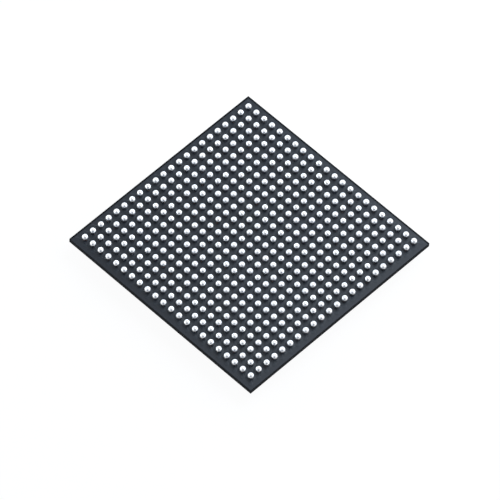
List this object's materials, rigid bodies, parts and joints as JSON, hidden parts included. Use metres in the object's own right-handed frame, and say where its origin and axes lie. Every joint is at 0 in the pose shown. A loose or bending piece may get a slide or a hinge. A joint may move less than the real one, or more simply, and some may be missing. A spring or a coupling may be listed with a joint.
{
  "type": "ball grid array chip",
  "caption": "Square plastic ball grid array chip lying on its moulded cap, with a full grid of solder balls on top.",
  "frame": {"origin": "middle of the marking face, the moulded face that the chip lies on", "axes": "+Z out of the ball side; X and Y along the package's sides, with the A1 corner at +X +Y"},
  "size_m": [0.023, 0.023, 0.0023],
  "materials": {
    "solder": "bright reflowed solder",
    "solder_mask": "satin printed solder mask",
    "laminate": "sawn laminate edge",
    "moulding_compound": "matt moulded epoxy",
    "silicon": "polished silicon",
    "die_adhesive": "cured silver filled epoxy",
    "copper": "plated copper",
    "gold_plate": "gold plated copper",
    "gold_wire": "drawn gold wire"
  },
  "bodies": {
    "root": {"ball_side_mask": "solder_mask", "mould_cap": "moulding_compound", "ball_circuits": "copper", "substrate_core": "laminate", "die_side_mask": "solder_mask", "bond_fingers_east": "gold_plate", "bond_fingers_north": "gold_plate", "bond_fingers_west": "gold_plate", "bond_fingers_south": "gold_plate", "bond_wires_east": "gold_wire", "bond_wires_north": "gold_wire", "bond_wires_west": "gold_wire", "bond_wires_south": "gold_wire", "silicon_die": "silicon", "die_attach": "die_adhesive", "ground_ring": "gold_plate", "power_ring": "gold_plate", "ball_row_a": "solder", "ball_row_b": "solder", "ball_row_c": "solder", "ball_row_d": "solder", "ball_row_e": "solder", "ball_row_f": "solder", "ball_row_g": "solder", "ball_row_h": "solder", "ball_row_j": "solder", "ball_row_k": "solder", "ball_row_l": "solder", "ball_row_m": "solder", "ball_row_n": "solder", "ball_row_p": "solder", "ball_row_r": "solder", "ball_row_t": "solder", "ball_row_u": "solder", "ball_row_v": "solder", "ball_row_w": "solder", "ball_row_y": "solder", "ball_row_aa": "solder", "ball_row_ab": "solder"}
  },
  "joints": []
}
